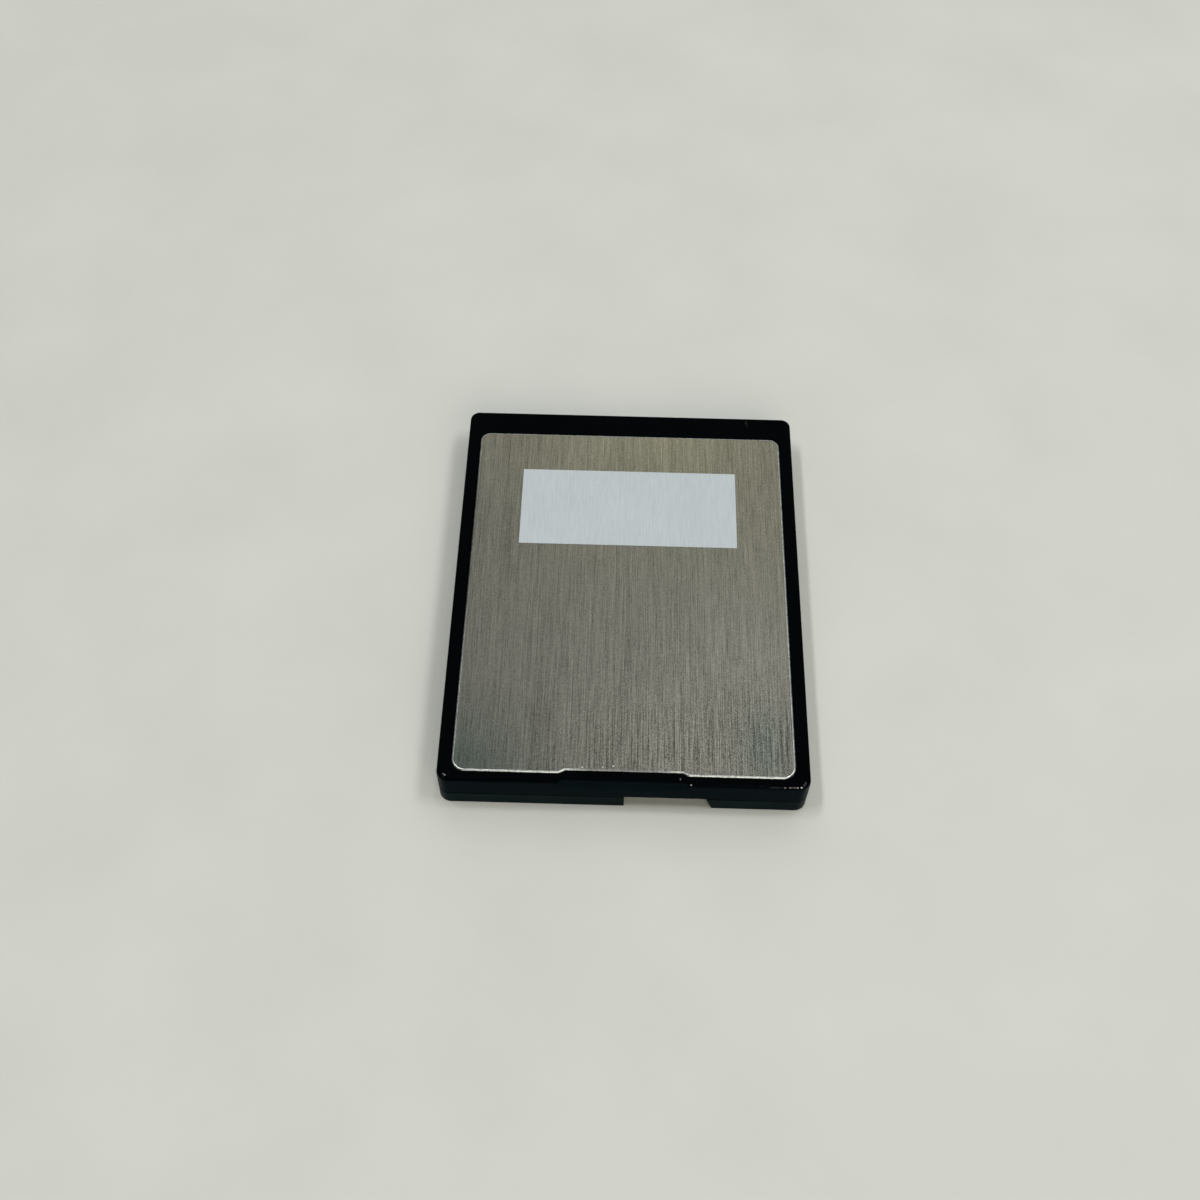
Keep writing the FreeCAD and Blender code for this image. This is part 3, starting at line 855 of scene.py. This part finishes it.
@dataclass
class Electronics:
    """Circuit board and the parts on it, which stay CAD nodes."""

    case: Moulding = Moulding(
        name="moulded_epoxy",
        dark=srgb(38, 38, 40),
        light=srgb(54, 54, 57),
        gloss=(0.5, 0.66),
        specular=0.3,
    )
    laminate: Moulding = Moulding(
        name="solder_mask",
        dark=srgb(24, 84, 52),
        light=srgb(38, 108, 70),
        gloss=(0.28, 0.4),
        specular=0.5,
    )
    film: Moulding = Moulding(
        name="bond_film",
        dark=srgb(48, 48, 50),
        light=srgb(62, 62, 64),
        gloss=(0.4, 0.5),
        specular=0.4,
    )
    ferrite: Moulding = Moulding(
        name="pressed_ferrite",
        dark=srgb(84, 84, 88),
        light=srgb(104, 104, 108),
        gloss=(0.6, 0.75),
        specular=0.3,
    )
    ceramic: Moulding = Moulding(
        name="fired_ceramic",
        dark=srgb(160, 128, 96),
        light=srgb(188, 154, 118),
        gloss=(0.5, 0.65),
        specular=0.4,
    )
    coating: Moulding = Moulding(
        name="resistor_coating",
        dark=srgb(34, 34, 38),
        light=srgb(48, 48, 52),
        gloss=(0.3, 0.45),
        specular=0.4,
    )
    can: Metal = Metal(name="drawn_can", dark=srgb(176, 174, 168), light=srgb(212, 210, 204))

    def build(self) -> None:
        """Dresses the inner nodes."""
        finishes = {
            self.case: (
                "flash_back_left", "flash_back_right", "flash_front_left", "flash_front_right",
                "controller_chip", "voltage_regulator",
            ),
            self.laminate: ("circuit_board",),
            self.film: ("back_film", "front_film"),
            self.ferrite: ("power_inductor",),
            self.ceramic: ("ceramic_capacitors",),
            self.coating: ("chip_resistors",),
            self.can: ("clock_crystal",),
        }
        for finish, nodes in finishes.items():
            material = finish.material()
            for node in nodes:
                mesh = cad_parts[node].data
                mesh.materials.clear()
                mesh.materials.append(material)
                LOG.info("%s dressed in %s", node, finish.name)


class Side(Enum):
    """Sides of the card on which lamps stand."""

    RIGHT = "right"
    LEFT = "left"
    BACK = "back"
    FRONT = "front"
    TOP = "top"


@dataclass(frozen=True)
class Lamp:
    """A soft box that faces the card, with lengths in metres and its power in watts."""

    side: Side
    direction: Triple
    distance: float
    size: Pair
    power: float
    colour: Colour = (1.0, 1.0, 1.0)

    def build(self) -> None:
        """Places the lamp and turns it to the card."""
        light = bpy.data.lights.new(self.side.value + "_soft_box", "AREA")
        light.shape = "RECTANGLE"
        light.size, light.size_y = self.size
        light.energy = self.power
        light.color = self.colour
        lamp = bpy.data.objects.new(light.name, light)
        bpy.context.scene.collection.objects.link(lamp)
        away = Vector(self.direction).normalized()
        lamp.location = away * self.distance
        lamp.rotation_euler = away.to_track_quat("Z", "Y").to_euler()


@dataclass
class Studio:
    """Pale floor that curves up at its rim, soft boxes and a dim room, with lengths in metres."""

    floor_side: float = 1.2
    rim_height: float = 0.3
    rim_flare: float = 1.12
    rim_round: float = 0.2
    rim_steps: int = 10
    rim_angle: float = 30.0
    paper: FloorPaper = FloorPaper()
    room: Colour = (0.1, 0.104, 0.104)
    lamps: Sequence[Lamp] = (
        Lamp(
            side=Side.RIGHT,
            direction=(0.46, -0.02, 0.89),
            distance=0.55,
            size=(0.24, 0.1),
            power=0.78,
        ),
        Lamp(
            side=Side.LEFT,
            direction=(-0.36, 0.03, 0.92),
            distance=0.9,
            size=(0.38, 0.07),
            power=2.45,
        ),
        Lamp(
            side=Side.BACK,
            direction=(0.1, 0.62, 0.8),
            distance=0.7,
            size=(0.9, 0.5),
            power=1.2,
            colour=(1.0, 0.99, 0.97),
        ),
        Lamp(
            side=Side.FRONT,
            direction=(0.22, -0.8, 0.54),
            distance=0.7,
            size=(0.5, 0.3),
            power=1.75,
            colour=(1.0, 0.94, 0.78),
        ),
        Lamp(
            side=Side.TOP,
            direction=(0.11, 0.13, 0.98),
            distance=0.9,
            size=(0.024, 0.024),
            power=0.45,
        ),
    )

    def build(self) -> None:
        """Builds floor, room and lamps."""
        self.build_floor()
        world = bpy.data.worlds.new("dim_room")
        world.use_nodes = True
        world.node_tree.nodes["Background"].inputs["Color"].default_value = (*self.room, OPAQUE)
        bpy.context.scene.world = world
        for lamp in self.lamps:
            lamp.build()
        LOG.info("studio with %d lamps", len(self.lamps))

    def build_floor(self) -> None:
        """Builds the floor as a plane whose border is drawn up into a rounded rim."""
        deselect()
        bpy.ops.mesh.primitive_plane_add(size=self.floor_side)
        floor = bpy.context.object
        floor.name = "pale_floor"
        bpy.ops.object.mode_set(mode="EDIT")
        bpy.ops.mesh.select_mode(type="EDGE")
        bpy.ops.mesh.select_all(action="SELECT")
        bpy.ops.mesh.extrude_edges_move(TRANSFORM_OT_translate={"value": (0, 0, self.rim_height)})
        bpy.ops.transform.resize(value=(self.rim_flare, self.rim_flare, 1), center_override=(0, 0, 0))
        bpy.ops.object.mode_set(mode="OBJECT")
        fold = floor.modifiers.new("rounded_rim", "BEVEL")
        fold.width = self.rim_round
        fold.segments = self.rim_steps
        fold.limit_method = "ANGLE"
        fold.angle_limit = math.radians(self.rim_angle)
        bpy.ops.object.modifier_apply(modifier=fold.name)
        bpy.ops.object.shade_smooth()
        floor.data.materials.append(self.paper.material())


@dataclass(frozen=True)
class PhotoCamera:
    """Camera fitted to the photograph's outline of the card: place in millimetres, angles in degrees."""

    image_side: float = 1200.0
    focal_pixels: float = 1468.870
    sensor: float = 36.0
    place: Triple = (-1.3009, -71.9095, 108.1443)
    angles: Triple = (33.92235, -0.45596, 1.49254)
    clip: Pair = (0.001, 10.0)

    def build(self) -> None:
        """Places the camera and makes it the scene's own."""
        data = bpy.data.cameras.new("photo_camera")
        data.sensor_width = self.sensor
        data.lens = self.focal_pixels / self.image_side * self.sensor
        data.clip_start, data.clip_end = self.clip
        camera = bpy.data.objects.new("photo_camera", data)
        bpy.context.scene.collection.objects.link(camera)
        camera.location = Vector(self.place) * MM
        camera.rotation_euler = [math.radians(angle) for angle in self.angles]
        bpy.context.scene.camera = camera


def main() -> None:
    """Builds every sub-assembly in order."""
    logging.basicConfig(level=logging.INFO)
    bpy.context.scene.view_settings.view_transform = "Standard"
    for part in (PhotoCamera(), Covers(), Frames(), Connector(), Electronics(), Studio()):
        part.build()


if __name__ == "__main__":
    main()
